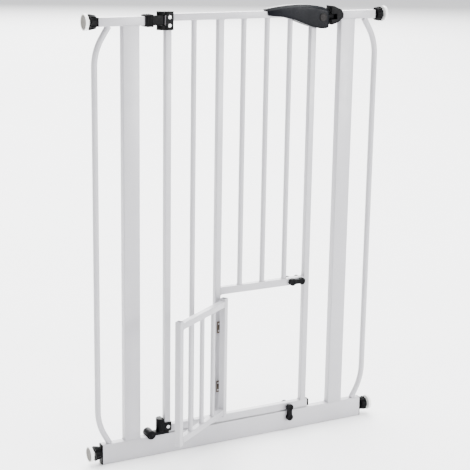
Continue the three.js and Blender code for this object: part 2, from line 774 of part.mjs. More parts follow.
add('latch_block', latchBlock(), blackPlastic);
add('latch_bolt', latchBolt(), blackPlastic);
add('handle_lever', handleLever(), handlePlastic);
add('handle_pivot_pin', pivotPin(), blackPlastic);

const petHingeStileX = petLeftX + stileWide / 2;
const petFreeStileX = petRightX - stileWide / 2;
const petRailFrom = petLeftX + stileWide + weldGap;
const petRailTo = petRightX - stileWide - weldGap;
const petTopRailZ = petHigh - petRailInset - petRailTall / 2;
const petBottomRailZ = petLow + petRailInset + petRailTall / 2;

add('pet_hinge_stile', petStile(petHingeStileX), powderWhite, petDoor);
add('pet_free_stile', petStile(petFreeStileX), powderWhite, petDoor);
add('pet_top_rail', petRail(petTopRailZ, petRailFrom, petRailTo), powderWhite, petDoor);
add('pet_bottom_rail', petRail(petBottomRailZ, petRailFrom, petRailTo), powderWhite, petDoor);
for (let i = 1; i <= petBarCount; i++) {
  const x = petHingeStileX + (petFreeStileX - petHingeStileX) * i / (petBarCount + 1);
  const low = petBottomRailZ + petRailTall / 2 + weldGap;
  const high = petTopRailZ - petRailTall / 2 - weldGap;
  add(`pet_bar_${i}`, roundBar(petFromAxis(x), petMidY, petBarDiameter, low, high), powderWhite, petDoor);
}
petHingeHeights.forEach((z, i) => {
  const name = ['lower', 'upper'][i];
  add(`pet_${name}_hinge_leaf`, hingeLeaf(z, false), zinc, petDoor);
  add(`door_${name}_hinge_leaf`, hingeLeaf(z, true).translate(petAxisX, petAxisY, 0), zinc);
});

const upperFrontY = -latchFace - latchThick;
const lowerBackY = -latchFace - lowerLatchStandOff;
add('upper_latch_front', join(butterfly(latchX, midRailZ, 1, 0, upperFrontY, -latchFace),
  latchShaftRod(latchX, midRailZ, -latchFace - runOver)), blackPlastic);
add('upper_latch_back', bored(butterfly(latchX, midRailZ, 1, 0, latchFace, latchFace + latchThick),
  latchX, midRailZ), blackPlastic);
add('lower_latch_front', join(butterfly(latchX, lowerLatchZ, 0, -1, lowerBackY - latchThick, lowerBackY),
  latchShaftRod(latchX, lowerLatchZ, lowerBackY - runOver)), blackPlastic);
add('lower_latch_knob', bored(rod('y', lowerLatchKnob, latchFace, latchFace + latchThick,
  [latchX, lowerLatchZ]), latchX, lowerLatchZ), blackPlastic);

export default gate;
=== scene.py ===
import json
import math
import bmesh
import bpy
from mathutils import Matrix, Vector


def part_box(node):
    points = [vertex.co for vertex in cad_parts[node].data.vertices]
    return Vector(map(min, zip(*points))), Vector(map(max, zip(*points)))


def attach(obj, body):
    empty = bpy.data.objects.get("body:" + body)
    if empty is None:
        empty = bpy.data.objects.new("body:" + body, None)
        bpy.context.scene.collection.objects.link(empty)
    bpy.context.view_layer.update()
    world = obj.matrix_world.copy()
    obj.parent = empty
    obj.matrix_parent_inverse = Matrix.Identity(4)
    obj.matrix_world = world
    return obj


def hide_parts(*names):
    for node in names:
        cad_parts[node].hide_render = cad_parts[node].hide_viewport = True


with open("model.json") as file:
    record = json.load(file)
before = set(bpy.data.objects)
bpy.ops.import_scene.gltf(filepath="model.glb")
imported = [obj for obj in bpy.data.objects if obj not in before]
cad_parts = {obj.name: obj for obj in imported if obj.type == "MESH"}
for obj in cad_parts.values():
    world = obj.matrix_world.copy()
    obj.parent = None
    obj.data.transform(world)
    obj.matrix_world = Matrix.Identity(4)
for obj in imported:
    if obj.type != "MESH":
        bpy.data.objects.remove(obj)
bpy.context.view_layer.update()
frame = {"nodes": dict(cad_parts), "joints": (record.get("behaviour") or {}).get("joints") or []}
joints = {joint["name"]: joint for joint in frame["joints"]}
print("frame loaded,", len(frame["nodes"]), "nodes")

X, Y, Z = Vector((1, 0, 0)), Vector((0, 1, 0)), Vector((0, 0, 1))


# camera, floor and light

shot = {"eye": (-1.4468, -2.6919, 1.3014), "turn": 28.08, "tilt": 14.30, "lean": 0.92,
        "lens": 100.5, "farthest": 60}
floor = {"size": 30.0, "drop": 0.0005}
daylight = {"colour": (0.95, 0.955, 0.97, 1), "strength": 1.15}
lightAim = Vector((0, 0, 0.5))
softLights = [
    {"name": "keyLight", "at": (3.0, -5.0, 1.6), "size": 1.6, "watts": 420},
    {"name": "topLight", "at": (0.0, 1.5, 7.0), "size": 9.0, "watts": 2500},
    {"name": "backLight", "at": (4.0, 10.0, 6.0), "size": 8.0, "watts": 2900},
]


def deselectAll():
    if bpy.context.object and bpy.context.object.mode != "OBJECT":
        bpy.ops.object.mode_set(mode="OBJECT")
    bpy.ops.object.select_all(action="DESELECT")


def makeActive(piece):
    deselectAll()
    piece.select_set(True)
    bpy.context.view_layer.objects.active = piece


def setCamera():
    deselectAll()
    bpy.ops.object.camera_add(location=shot["eye"])
    camera = bpy.context.object
    camera.name = "camera"
    turned = Matrix.Rotation(math.radians(-shot["turn"]), 4, "Z")
    tilted = Matrix.Rotation(math.radians(90 - shot["tilt"]), 4, "X")
    leaned = Matrix.Rotation(math.radians(shot["lean"]), 4, "Z")
    camera.matrix_world = Matrix.Translation(shot["eye"]) @ turned @ tilted @ leaned
    camera.data.lens = shot["lens"]
    camera.data.clip_end = shot["farthest"]
    bpy.context.scene.camera = camera


def setLights():
    for light in softLights:
        deselectAll()
        bpy.ops.object.light_add(type="AREA", location=light["at"])
        lamp = bpy.context.object
        lamp.name = light["name"]
        lamp.data.energy = light["watts"]
        lamp.data.size = light["size"]
        lamp.rotation_euler = (lightAim - lamp.location).to_track_quat("-Z", "Y").to_euler()
    world = bpy.data.worlds.new("studio")
    world.use_nodes = True
    sky = world.node_tree.nodes["Background"]
    sky.inputs["Color"].default_value = daylight["colour"]
    sky.inputs["Strength"].default_value = daylight["strength"]
    bpy.context.scene.world = world


setCamera()
setLights()
print("camera and lights set")


# finishes, all on object coordinates

toneSpan = {"from": 0.3, "to": 0.7}  # the part of a noise that carries its tones


class Finish:
    def __init__(self, name):
        self.material = bpy.data.materials.new(name)
        self.material.use_nodes = True
        self.nodes = self.material.node_tree.nodes
        self.links = self.material.node_tree.links
        self.shader = self.nodes["Principled BSDF"]
        self.place = self.nodes.new("ShaderNodeTexCoord").outputs["Object"]

    def socket(self, name, value):
        self.shader.inputs[name].default_value = value

    def stretched(self, scale):
        mapping = self.nodes.new("ShaderNodeMapping")
        mapping.inputs["Scale"].default_value = scale
        self.links.new(self.place, mapping.inputs["Vector"])
        return mapping.outputs["Vector"]

    def noise(self, scale, detail=3.0, rough=0.55, vector=None):
        noise = self.nodes.new("ShaderNodeTexNoise")
        noise.inputs["Scale"].default_value = scale
        noise.inputs["Detail"].default_value = detail
        noise.inputs["Roughness"].default_value = rough
        self.links.new(vector or self.place, noise.inputs["Vector"])
        return noise.outputs["Fac"]

    def spread(self, value, low, high):
        spread = self.nodes.new("ShaderNodeMapRange")
        spread.inputs["From Min"].default_value = toneSpan["from"]
        spread.inputs["From Max"].default_value = toneSpan["to"]
        spread.inputs["To Min"].default_value = low
        spread.inputs["To Max"].default_value = high
        self.links.new(value, spread.inputs["Value"])
        return spread.outputs["Result"]

    def tones(self, value, dark, light, middle=None):
        ramp = self.nodes.new("ShaderNodeValToRGB")
        ramp.color_ramp.elements[0].position = toneSpan["from"]
        ramp.color_ramp.elements[0].color = (*dark, 1)
        ramp.color_ramp.elements[1].position = toneSpan["to"]
        ramp.color_ramp.elements[1].color = (*light, 1)
        if middle:
            halfway = (toneSpan["from"] + toneSpan["to"]) / 2
            ramp.color_ramp.elements.new(halfway).color = (*middle, 1)
        self.links.new(value, ramp.inputs["Fac"])
        self.links.new(ramp.outputs["Color"], self.shader.inputs["Base Color"])

    def rough(self, value):
        self.links.new(value, self.shader.inputs["Roughness"])

    def bump(self, *layers):  # each layer is a height, a strength and a distance
        normal = None
        for height, strength, distance in layers:
            bump = self.nodes.new("ShaderNodeBump")
            bump.inputs["Strength"].default_value = strength
            bump.inputs["Distance"].default_value = distance
            self.links.new(height, bump.inputs["Height"])
            if normal:
                self.links.new(normal, bump.inputs["Normal"])
            normal = bump.outputs["Normal"]
        self.links.new(normal, self.shader.inputs["Normal"])


def powderCoat(name="powderCoat", peel=0.22):
    coat = Finish(name)
    coat.tones(coat.noise(scale=9, detail=4), dark=(0.350, 0.346, 0.366),
               middle=(0.364, 0.359, 0.378), light=(0.374, 0.370, 0.388))
    coat.rough(coat.spread(coat.noise(scale=60, detail=4), low=0.34, high=0.46))
    coat.bump((coat.noise(scale=420, detail=2, rough=0.5), peel, 0.0004),
              (coat.noise(scale=2600, detail=2), 0.08, 0.0001))
    coat.socket("Coat Weight", 0.12)
    coat.socket("Coat Roughness", 0.25)
    return coat.material


def mouldedBlack():
    plastic = Finish("mouldedBlack")
    plastic.tones(plastic.noise(scale=35, detail=4), dark=(0.0009, 0.0009, 0.0012),
                  light=(0.0018, 0.0018, 0.0024))
    plastic.rough(plastic.spread(plastic.noise(scale=220, detail=5), low=0.38, high=0.55))
    plastic.bump((plastic.noise(scale=1800, detail=3, rough=0.6), 0.25, 0.0002),
                 (plastic.noise(scale=90, detail=2), 0.08, 0.0008))
    plastic.socket("Specular IOR Level", 0.06)
    return plastic.material


def glossNavy():
    plastic = Finish("glossNavy")
    plastic.tones(plastic.noise(scale=12, detail=3), dark=(0.0006, 0.0009, 0.0020),
                  light=(0.0012, 0.0016, 0.0034))
    plastic.rough(plastic.spread(plastic.noise(scale=50, detail=5), low=0.24, high=0.36))
    plastic.bump((plastic.noise(scale=900, detail=2), 0.05, 0.0001),
                 (plastic.noise(scale=26, detail=2), 0.05, 0.0012))
    plastic.socket("Specular IOR Level", 0.05)
    return plastic.material


def pivotBrown():
    plastic = Finish("pivotBrown")
    plastic.tones(plastic.noise(scale=60, detail=4), dark=(0.0065, 0.0056, 0.0056),
                  light=(0.011, 0.0095, 0.0092))
    plastic.rough(plastic.spread(plastic.noise(scale=240, detail=4), low=0.40, high=0.56))
    plastic.bump((plastic.noise(scale=1500, detail=3), 0.2, 0.0002))
    plastic.socket("Specular IOR Level", 0.10)
    return plastic.material


def zincPlate():
    zinc = Finish("zincPlate")
    zinc.socket("Metallic", 1.0)
    zinc.tones(zinc.noise(scale=110, detail=4), dark=(0.55, 0.55, 0.56),
               middle=(0.68, 0.68, 0.69), light=(0.74, 0.72, 0.68))
    drawn = zinc.stretched((0.2, 1, 1))
    zinc.rough(zinc.spread(zinc.noise(scale=700, detail=3, rough=0.5, vector=drawn),
                           low=0.22, high=0.42))
    zinc.bump((zinc.noise(scale=1600, detail=3, rough=0.6), 0.12, 0.0001))
    return zinc.material


def hingeSteel():
    steel = Finish("hingeSteel")
    steel.socket("Metallic", 0.85)
    steel.tones(steel.noise(scale=160, detail=4), dark=(0.075, 0.062, 0.050),
                light=(0.15, 0.125, 0.105))
    steel.rough(steel.spread(steel.noise(scale=600, detail=3), low=0.38, high=0.58))
    steel.bump((steel.noise(scale=1400, detail=3, rough=0.6), 0.15, 0.0001))
    return steel.material


def padPlastic():
    white = Finish("padPlastic")
    white.tones(white.noise(scale=40, detail=4), dark=(0.74, 0.74, 0.72),
                light=(0.82, 0.82, 0.81))
    white.rough(white.spread(white.noise(scale=150, detail=4), low=0.42, high=0.56))
    white.bump((white.noise(scale=1200, detail=3), 0.15, 0.0002))
    return white.material


def padFoam():
    foam = Finish("padFoam")
    foam.tones(foam.noise(scale=500, detail=5), dark=(0.09, 0.085, 0.078),
               light=(0.17, 0.16, 0.145))
    foam.rough(foam.spread(foam.noise(scale=300, detail=4), low=0.75, high=0.95))
    foam.bump((foam.noise(scale=1500, detail=5, rough=0.7), 0.7, 0.0006))
    return foam.material


def floorPaper():
    paper = Finish("floorPaper")
    paper.tones(paper.noise(scale=1.2, detail=3), dark=(0.92, 0.92, 0.925),
                light=(0.94, 0.94, 0.945))
    paper.rough(paper.spread(paper.noise(scale=40, detail=4), low=0.8, high=0.92))
    paper.bump((paper.noise(scale=350, detail=3), 0.06, 0.0005))
    return paper.material


white = powderCoat()
weldWhite = powderCoat("weldWhite", peel=0.5)
black = mouldedBlack()
navy = glossNavy()
brown = pivotBrown()
zinc = zincPlate()
brownSteel = hingeSteel()
padWhite = padPlastic()
foamGrey = padFoam()
print("finishes made")


# modelling helpers

# how far a cutter runs past its piece
cutPast = {"small": 0.001, "dish": 0.002, "bore": 0.01, "wide": 0.1}
merge = {"own": 0.000002, "copied": 0.00001, "flat": 2}  # two distances, and an angle in degrees


def addBox(name, low, high):
    deselectAll()
    low, high = Vector(low), Vector(high)
    bpy.ops.mesh.primitive_cube_add(size=1, location=(low + high) / 2)
    piece = bpy.context.object
    piece.name = name
    piece.scale = high - low
    bpy.ops.object.transform_apply(location=True, rotation=True, scale=True)
    return piece


def addRod(name, along, radius, start, end, sides=48):
    deselectAll()
    start, end = Vector(start), Vector(end)
    bpy.ops.mesh.primitive_cylinder_add(vertices=sides, radius=radius,
                                        depth=(end - start).length, location=(start + end) / 2)
    piece = bpy.context.object
    piece.name = name
    piece.rotation_euler = along.to_track_quat("Z", "Y").to_euler()
    bpy.ops.object.transform_apply(location=True, rotation=True, scale=True)
    return piece


def startEdit(piece, kind="FACE"):
    makeActive(piece)
    bpy.ops.object.mode_set(mode="EDIT")
    bpy.ops.mesh.select_mode(type=kind)
    bpy.ops.mesh.select_all(action="DESELECT")


def pickFaces(piece, test):
    shape = bmesh.from_edit_mesh(piece.data)
    for face in shape.faces:
        face.select_set(bool(test(face.calc_center_median(), face.normal)))
    bmesh.update_edit_mesh(piece.data)


def pickEdges(piece, test):
    shape = bmesh.from_edit_mesh(piece.data)
    for edge in shape.edges:
        a, b = edge.verts[0].co, edge.verts[1].co
        edge.select_set(bool(test((a + b) / 2, (b - a).normalized())))
    bmesh.update_edit_mesh(piece.data)


def endEdit():
    bpy.ops.object.mode_set(mode="OBJECT")


def pushFaces(vector):
    bpy.ops.mesh.extrude_region_move(TRANSFORM_OT_translate={"value": vector})


def applyModifier(piece, kind, **settings):
    makeActive(piece)
    modifier = piece.modifiers.new(kind.lower(), kind)
    for key, value in settings.items():
        setattr(modifier, key, value)
    bpy.ops.object.modifier_apply(modifier=modifier.name)


def softenEdges(piece, width, segments=3, angle=30):
    applyModifier(piece, "BEVEL", width=width, segments=segments, limit_method="ANGLE",
                  angle_limit=math.radians(angle), use_clamp_overlap=True)


def carve(piece, *tools):
    for tool in tools:
        applyModifier(piece, "BOOLEAN", operation="DIFFERENCE", object=tool, solver="EXACT")
        bpy.data.objects.remove(tool)


def weldOn(piece, *extras):
    for extra in extras:
        applyModifier(piece, "BOOLEAN", operation="UNION", object=extra, solver="EXACT")
        bpy.data.objects.remove(extra)


def joinPieces(name, pieces):
    makeActive(pieces[0])
    for piece in pieces[1:]:
        piece.select_set(True)
    if len(pieces) > 1:
        bpy.ops.object.join()
    joined = bpy.context.view_layer.objects.active
    joined.name = name
    return joined


def finishPiece(piece, material, body, nodes=(), smooth=32, turn=None):
    if turn:
        piece.data.transform(turn)
    makeActive(piece)
    piece.data.materials.clear()
    piece.data.materials.append(material)
    bpy.ops.object.mode_set(mode="EDIT")
    bpy.ops.mesh.select_all(action="SELECT")
    bpy.ops.mesh.remove_doubles(threshold=merge["own"])
    bpy.ops.mesh.normals_make_consistent(inside=False)
    bpy.ops.object.mode_set(mode="OBJECT")
    bpy.ops.object.shade_smooth_by_angle(angle=math.radians(smooth))
    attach(piece, body)
    if nodes:
        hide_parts(*nodes)
    return piece


def cleanCopy(node, name, width, segments=3, angle=30):
    source = frame["nodes"][node]
    piece = bpy.data.objects.new(name, source.data.copy())
    bpy.context.scene.collection.objects.link(piece)
    startEdit(piece, "VERT")
    bpy.ops.mesh.select_all(action="SELECT")
    bpy.ops.mesh.remove_doubles(threshold=merge["copied"])
    bpy.ops.mesh.dissolve_limited(angle_limit=math.radians(merge["flat"]))
    endEdit()
    softenEdges(piece, width, segments, angle)
    return piece


# the small door is modelled shut, in its opening, and then turned to where it stands open

petHinge = joints["pet_door_swing"]
petSpot = Vector(petHinge["pos_m"])
petTurn = Matrix.Rotation(-math.radians(petHinge["range_deg"][1]), 4, "Z")
petOpen = Matrix.Translation(petSpot) @ petTurn @ Matrix.Translation(-petSpot)
petShut = petOpen.inverted()


def nodeBox(node, turned=False):
    if not turned:
        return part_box(node)
    spots = [petShut @ v.co for v in frame["nodes"][node].data.vertices]
    low = Vector([min(s[i] for s in spots) for i in range(3)])
    high = Vector([max(s[i] for s in spots) for i in range(3)])
    return low, high


# square and flat steel tube

tubing = {"corner": 0.0021, "doorCorner": 0.0016, "cornerSteps": 5, "wall": 0.0012,
          "mouthDeep": 0.12, "mouthShare": 0.35, "edge": 0.0003}


def squareTube(node, along, corner, openEnds, body, turned=False):
    low, high = nodeBox(node, turned)
    piece = addBox(node + "Tube", low, high)
    startEdit(piece, "EDGE")
    pickEdges(piece, lambda spot, line: abs(line.dot(along)) > 0.9)
    bpy.ops.mesh.bevel(offset=corner, segments=tubing["cornerSteps"], affect="EDGES")
    endEdit()
    mouthDeep = min(tubing["mouthDeep"], (high - low).dot(along) * tubing["mouthShare"])
    for sign in openEnds:
        startEdit(piece)
        pickFaces(piece, lambda spot, normal: normal.dot(along) * sign > 0.9)
        bpy.ops.mesh.inset(thickness=tubing["wall"])
        pushFaces(along * -sign * mouthDeep)
        endEdit()
    softenEdges(piece, tubing["edge"], 2, 50)
    finishPiece(piece, white, body, [node], 40, petOpen if turned else None)


def buildTubes():
    corner, doorCorner = tubing["corner"], tubing["doorCorner"]
    squareTube("bottom_bar", X, corner, (-1, 1), "frame")
    for side in ("left", "right"):
        squareTube(side + "_upright", Z, corner, (), "frame")
    for side in ("left", "right"):
        squareTube(side + "_top_stub", X, corner, (-1, 1), "frame")
    for node in ("door_hinge_stile", "door_middle_stile", "door_latch_stile"):
        squareTube(node, Z, doorCorner, (), "door")
    squareTube("door_top_rail", X, doorCorner, (1,), "door")
    squareTube("door_mid_rail", X, doorCorner, (), "door")
    squareTube("door_bottom_rail", X, doorCorner, (1,), "door")
    for node in ("pet_hinge_stile", "pet_free_stile"):
        squareTube(node, Z, doorCorner, (-1, 1), "pet_door", True)
    for node in ("pet_top_rail", "pet_bottom_rail"):
        squareTube(node, X, doorCorner, (), "pet_door", True)


buildTubes()
print("square tubes done")


# round bars, with the small flare where each is let into its rail

barFlare = {"sides": 40, "thick": 0.0022, "lift": 0.0004, "squash": 0.9}


def roundBar(node, body, turned=False):
    low, high = nodeBox(node, turned)
    radius = (high.y - low.y) / 2
    middle = (low + high) / 2
    bar = addRod(node + "Bar", Z, radius, (middle.x, middle.y, low.z), (middle.x, middle.y, high.z),
                 barFlare["sides"])
    rings = []
    for end, inward in ((low.z, 1), (high.z, -1)):
        deselectAll()
        bpy.ops.mesh.primitive_torus_add(
            location=(middle.x, middle.y, end + inward * barFlare["lift"]),
            major_segments=barFlare["sides"], minor_segments=10,
            major_radius=radius, minor_radius=barFlare["thick"] / 2)
        ring = bpy.context.object
        ring.scale.z = barFlare["squash"]
        bpy.ops.object.transform_apply(location=True, rotation=True, scale=True)
        rings.append(ring)
    piece = joinPieces(node + "Bar", [bar] + rings)
    finishPiece(piece, white, body, [node], 50, petOpen if turned else None)


for count in range(1, 5):
    roundBar(f"door_bar_{count}", "door")
for count in range(1, 4):
    roundBar(f"pet_bar_{count}", "pet_door", True)
print("round bars done")


# the bent side bows

bow = {"foot": 0.340, "head": 0.334, "footRise": 0.050, "headDrop": 0.054, "reach": 0.036,
       "bendSteps": 10, "sink": 0.0003, "trim": 0.0002, "roundness": 10}


def bentTube(node, side):
    low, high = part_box(node)
    radius = (high.y - low.y) / 2
    outX = max(abs(low.x), abs(high.x)) - radius
    barTop = low.z - bow["sink"]
    stubLow = high.z + bow["sink"]
    corners = [Vector((side * x, 0, z)) for x, z in (
        (bow["foot"], barTop), (outX, barTop + bow["footRise"]),
        (outX, stubLow - bow["headDrop"]), (bow["head"], stubLow))]
    route = [corners[0]]
    for before, corner, after in zip(corners, corners[1:], corners[2:]):
        start = corner + (before - corner).normalized() * bow["reach"]
        stop = corner + (after - corner).normalized() * bow["reach"]
        for step in range(bow["bendSteps"] + 1):
            t = step / bow["bendSteps"]
            route.append(start * (1 - t) ** 2 + corner * 2 * t * (1 - t) + stop * t ** 2)
    route.append(corners[3])
    deselectAll()
    bpy.ops.curve.primitive_bezier_curve_add()
    curve = bpy.context.object
    curve.data.splines.clear()
    line = curve.data.splines.new("POLY")
    line.points.add(len(route) - 1)
    for point, spot in zip(line.points, route):
        point.co = (*spot, 1)
    curve.data.bevel_depth = radius
    curve.data.bevel_resolution = bow["roundness"]
    curve.data.use_fill_caps = True
    bpy.ops.object.convert(target="MESH")
    piece = bpy.context.object
    piece.name = node + "Tube"
    past = cutPast["wide"]
    under = addBox("under", (-1, -past, barTop - past), (1, past, barTop + bow["trim"]))
    over = addBox("over", (-1, -past, stubLow - bow["trim"]), (1, past, stubLow + past))
    carve(piece, under, over)
    finishPiece(piece, white, "frame", [node], 50)


bentTube("left_bow", -1)
bentTube("right_bow", 1)
print("bows done")


# weld beads round the joints of the steel

bead = {"out": 0.0005, "wide": 0.0018, "thick": 0.0016, "edge": 0.0004,
        "cuts": 6, "ripple": 0.00012, "seed": 5}


def weldRing(spot, along, across):
    half = Vector(across) / 2 + Vector((1, 1, 1)) * bead["out"]
    low, high = Vector(spot) - half, Vector(spot) + half
    axis = [abs(value) > 0.5 for value in along].index(True)
    low[axis] = spot[axis] - bead["wide"] / 2
    high[axis] = spot[axis] + bead["wide"] / 2
    ring = addBox("bead", low, high)
    startEdit(ring)
    pickFaces(ring, lambda centre, normal: abs(normal.dot(along)) > 0.9)
    bpy.ops.mesh.delete(type="FACE")
    bpy.ops.mesh.select_all(action="SELECT")
    bpy.ops.mesh.subdivide(number_cuts=bead["cuts"])
    bpy.ops.mesh.select_all(action="SELECT")
    bpy.ops.transform.vertex_random(offset=bead["ripple"], seed=bead["seed"])
    endEdit()
    applyModifier(ring, "SOLIDIFY", thickness=bead["thick"], offset=-1)
    softenEdges(ring, bead["edge"], 2, 50)
    return ring


def stileWelds(rail, stiles, turned=False):
    low, high = nodeBox(rail, turned)
    middle, size = (low + high) / 2, high - low
    return [weldRing((x, middle.y, middle.z), X, (0, size.y, size.z)) for x in stiles]


def postWelds(post, heights, turned=False):
    low, high = nodeBox(post, turned)
    middle, size = (low + high) / 2, high - low
    return [weldRing((middle.x, middle.y, z), Z, (size.x, size.y, 0)) for z in heights]


def finishWelds(name, beads, body, turn=None):
    finishPiece(joinPieces(name, beads), weldWhite, body, (), 60, turn)


def buildWelds():
    frameBeads = []
    for post in ("left_upright", "right_upright"):
        low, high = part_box(post)
        frameBeads += postWelds(post, (low.z, high.z))
    finishWelds("frameWelds", frameBeads, "frame")
    doorBeads = []
    for post in ("door_middle_stile", "door_latch_stile"):
        low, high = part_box(post)
        doorBeads += postWelds(post, (low.z, high.z))
    low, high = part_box("door_mid_rail")
    doorBeads += stileWelds("door_mid_rail", (low.x, high.x))
    low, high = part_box("door_bottom_rail")
    doorBeads += stileWelds("door_bottom_rail", (low.x,))
    finishWelds("doorWelds", doorBeads, "door")
    petBeads = []
    for rail in ("pet_top_rail", "pet_bottom_rail"):
        low, high = nodeBox(rail, True)
        petBeads += stileWelds(rail, (low.x, high.x), True)
    finishWelds("petDoorWelds", petBeads, "pet_door", petOpen)


buildWelds()
print("welds done")


# wall fixings: end plugs, spindles with a real thread, hand nuts and pads

plugEdge = 0.0006
thread = {"pitch": 0.002, "deep": 0.0009, "length": 0.030, "plain": 0.003, "steps": 20,
          "edge": 0.0005}
nutShape = {"ribs": 12, "groove": 0.0018, "ribShare": 0.97, "taper": 0.84, "bore": 0.0053,
            "rimWide": 0.0035, "rimDeep": 0.003, "bossIn": 0.003, "bossTall": 0.0024, "edge": 0.0009}
padShape = {"rim": 0.0022, "dish": 0.0012, "backShare": 0.5, "backStep": 0.002, "backTall": 0.0012,
            "edge": 0.0011, "sides": 72}
foamShape = {"proud": 0.0008, "sunk": 0.001, "gap": 0.0003, "ring": 0.003, "dent": 0.0002,
             "edge": 0.0004}
collarShape = {"radius": 0.0075, "sunk": 0.0005, "long": 0.0022, "edge": 0.0008}


def endPlug(node):
    finishPiece(cleanCopy(node, node + "Moulding", plugEdge), black, "frame", [node])


def threadedSpindle(node, side, body):
    low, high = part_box(node)
    radius = (high.z - low.z) / 2
    middle = (low + high) / 2
    coreRadius = radius - thread["deep"]
    core = addRod("core", X, coreRadius, (low.x, middle.y, middle.z), (high.x, middle.y, middle.z), 32)
    softenEdges(core, thread["edge"], 2)
    outer = high.x if side > 0 else low.x
    start = outer - side * thread["length"]
    deselectAll()
    bpy.ops.mesh.primitive_circle_add(vertices=4, radius=thread["deep"], fill_type="NOTHING",
                                      location=(start, middle.y, middle.z + coreRadius),
                                      rotation=(math.pi / 2, 0, 0))
    ridge = bpy.context.object
    bpy.ops.object.transform_apply(location=True, rotation=True, scale=True)
    ridge.data.transform(Matrix.Translation((-start, -middle.y, -middle.z)))
    turns = int((thread["length"] - thread["plain"]) / thread["pitch"])
    applyModifier(ridge, "SCREW", axis="X", angle=2 * math.pi, screw_offset=side * thread["pitch"],
                  iterations=turns, steps=thread["steps"], render_steps=thread["steps"],
                  use_merge_vertices=True)
    ridge.data.transform(Matrix.Translation((start, middle.y, middle.z)))
    startEdit(ridge, "EDGE")
    bpy.ops.mesh.select_non_manifold()
    bpy.ops.mesh.edge_face_add()
    endEdit()
    finishPiece(joinPieces(node + "Thread", [core, ridge]), zinc, body, [node], 35)


def handNut(node, side, body):
    low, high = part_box(node)
    radius = (high.z - low.z) / 2
    middle = (low + high) / 2
    sides = nutShape["ribs"] * 4
    innerX = low.x if side > 0 else high.x
    nut = addRod("nut", X, radius - nutShape["groove"], (low.x, middle.y, middle.z),
                 (high.x, middle.y, middle.z), sides)

    def onRib(spot, normal):
        turn = math.atan2(spot.z - middle.z, spot.y - middle.y) / (2 * math.pi) * sides
        return abs(normal.x) < 0.5 and math.floor(turn) % 4 in (0, 1)

    def onOuterCap(spot, normal):
        return (spot - middle).yz.length < 0.001 and (spot.x - middle.x) * side > 0.003

    startEdit(nut)
    pickFaces(nut, onRib)
    ribTall = nutShape["groove"] * nutShape["ribShare"]
    bpy.ops.mesh.extrude_region_shrink_fatten(TRANSFORM_OT_shrink_fatten={"value": ribTall})
    pickFaces(nut, onOuterCap)
    bpy.ops.mesh.inset(thickness=nutShape["rimWide"])
    pushFaces((side * -nutShape["rimDeep"], 0, 0))
    bpy.ops.mesh.inset(thickness=nutShape["bossIn"])
    pushFaces((side * nutShape["bossTall"], 0, 0))
    bpy.ops.mesh.select_mode(type="VERT")
    shape = bmesh.from_edit_mesh(nut.data)
    for vertex in shape.verts:
        vertex.select_set(abs(vertex.co.x - innerX) < 0.0005)
    bmesh.update_edit_mesh(nut.data)
    taper = nutShape["taper"]
    bpy.ops.transform.resize(value=(1, taper, taper), center_override=(innerX, middle.y, middle.z))
    endEdit()
    bore = addRod("bore", X, nutShape["bore"], (low.x - cutPast["bore"], middle.y, middle.z),
                  (high.x + cutPast["bore"], middle.y, middle.z))
    carve(nut, bore)
    softenEdges(nut, nutShape["edge"], 3, 35)
    nut.name = node + "Moulding"
    finishPiece(nut, black, body, [node], 40)


def padCup(node, side, body):
    low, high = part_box(node)
    radius = (high.z - low.z) / 2
    middle = (low + high) / 2
    cup = addRod("cup", X, radius, (low.x, middle.y, middle.z), (high.x, middle.y, middle.z),
                 padShape["sides"])
    startEdit(cup)
    pickFaces(cup, lambda spot, normal: normal.x * side > 0.9)
    bpy.ops.mesh.inset(thickness=padShape["rim"])
    pushFaces((side * -padShape["dish"], 0, 0))
    pickFaces(cup, lambda spot, normal: normal.x * side < -0.9)
    bpy.ops.mesh.inset(thickness=radius * padShape["backShare"])
    bpy.ops.mesh.inset(thickness=padShape["backStep"])
    pushFaces((side * padShape["backTall"], 0, 0))
    endEdit()
    softenEdges(cup, padShape["edge"], 4, 35)
    cup.name = node + "Cup"
    finishPiece(cup, padWhite, body, [node], 40)


def padFoamFace(node, side, body):
    low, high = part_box(node)
    radius = (high.z - low.z) / 2 - padShape["rim"] - foamShape["gap"]
    middle = (low + high) / 2
    faceX = (high.x if side > 0 else low.x) - side * padShape["dish"]
    foam = addRod("foam", X, radius, (faceX - side * foamShape["sunk"], middle.y, middle.z),
                  (faceX + side * foamShape["proud"], middle.y, middle.z), padShape["sides"])
    startEdit(foam)
    pickFaces(foam, lambda spot, normal: normal.x * side > 0.9)
    bpy.ops.mesh.inset(thickness=foamShape["ring"])
    bpy.ops.mesh.inset(thickness=foamShape["ring"])
    pushFaces((side * -foamShape["dent"], 0, 0))
    endEdit()
    softenEdges(foam, foamShape["edge"], 2, 35)
    foam.name = node + "Foam"
    finishPiece(foam, foamGrey, body, (), 40)


def padCollar(node, side, body):
    low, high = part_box(node)
    middle = (low + high) / 2
    innerX = low.x if side > 0 else high.x
    start = (innerX + side * collarShape["sunk"], middle.y, middle.z)
    stop = (innerX - side * collarShape["long"], middle.y, middle.z)
    collar = addRod("collar", X, collarShape["radius"], start, stop, 40)
    softenEdges(collar, collarShape["edge"], 3)
    collar.name = node + "Collar"
    finishPiece(collar, zinc, body, (), 40)


for sideName, side in (("left", -1), ("right", 1)):
    endPlug(sideName + "_stub_plug")
    endPlug(sideName + "_bar_plug")
    for level in ("upper", "lower"):
        stem = f"{sideName}_{level}"
        threadedSpindle(stem + "_spindle", side, stem + "_foot")
        handNut(stem + "_nut", side, stem + "_nut")
        padCup(stem + "_wall_pad", side, stem + "_foot")
        padFoamFace(stem + "_wall_pad", side, stem + "_foot")
        padCollar(stem + "_wall_pad", side, stem + "_foot")
print("wall fixings done")


# hinges of the main door

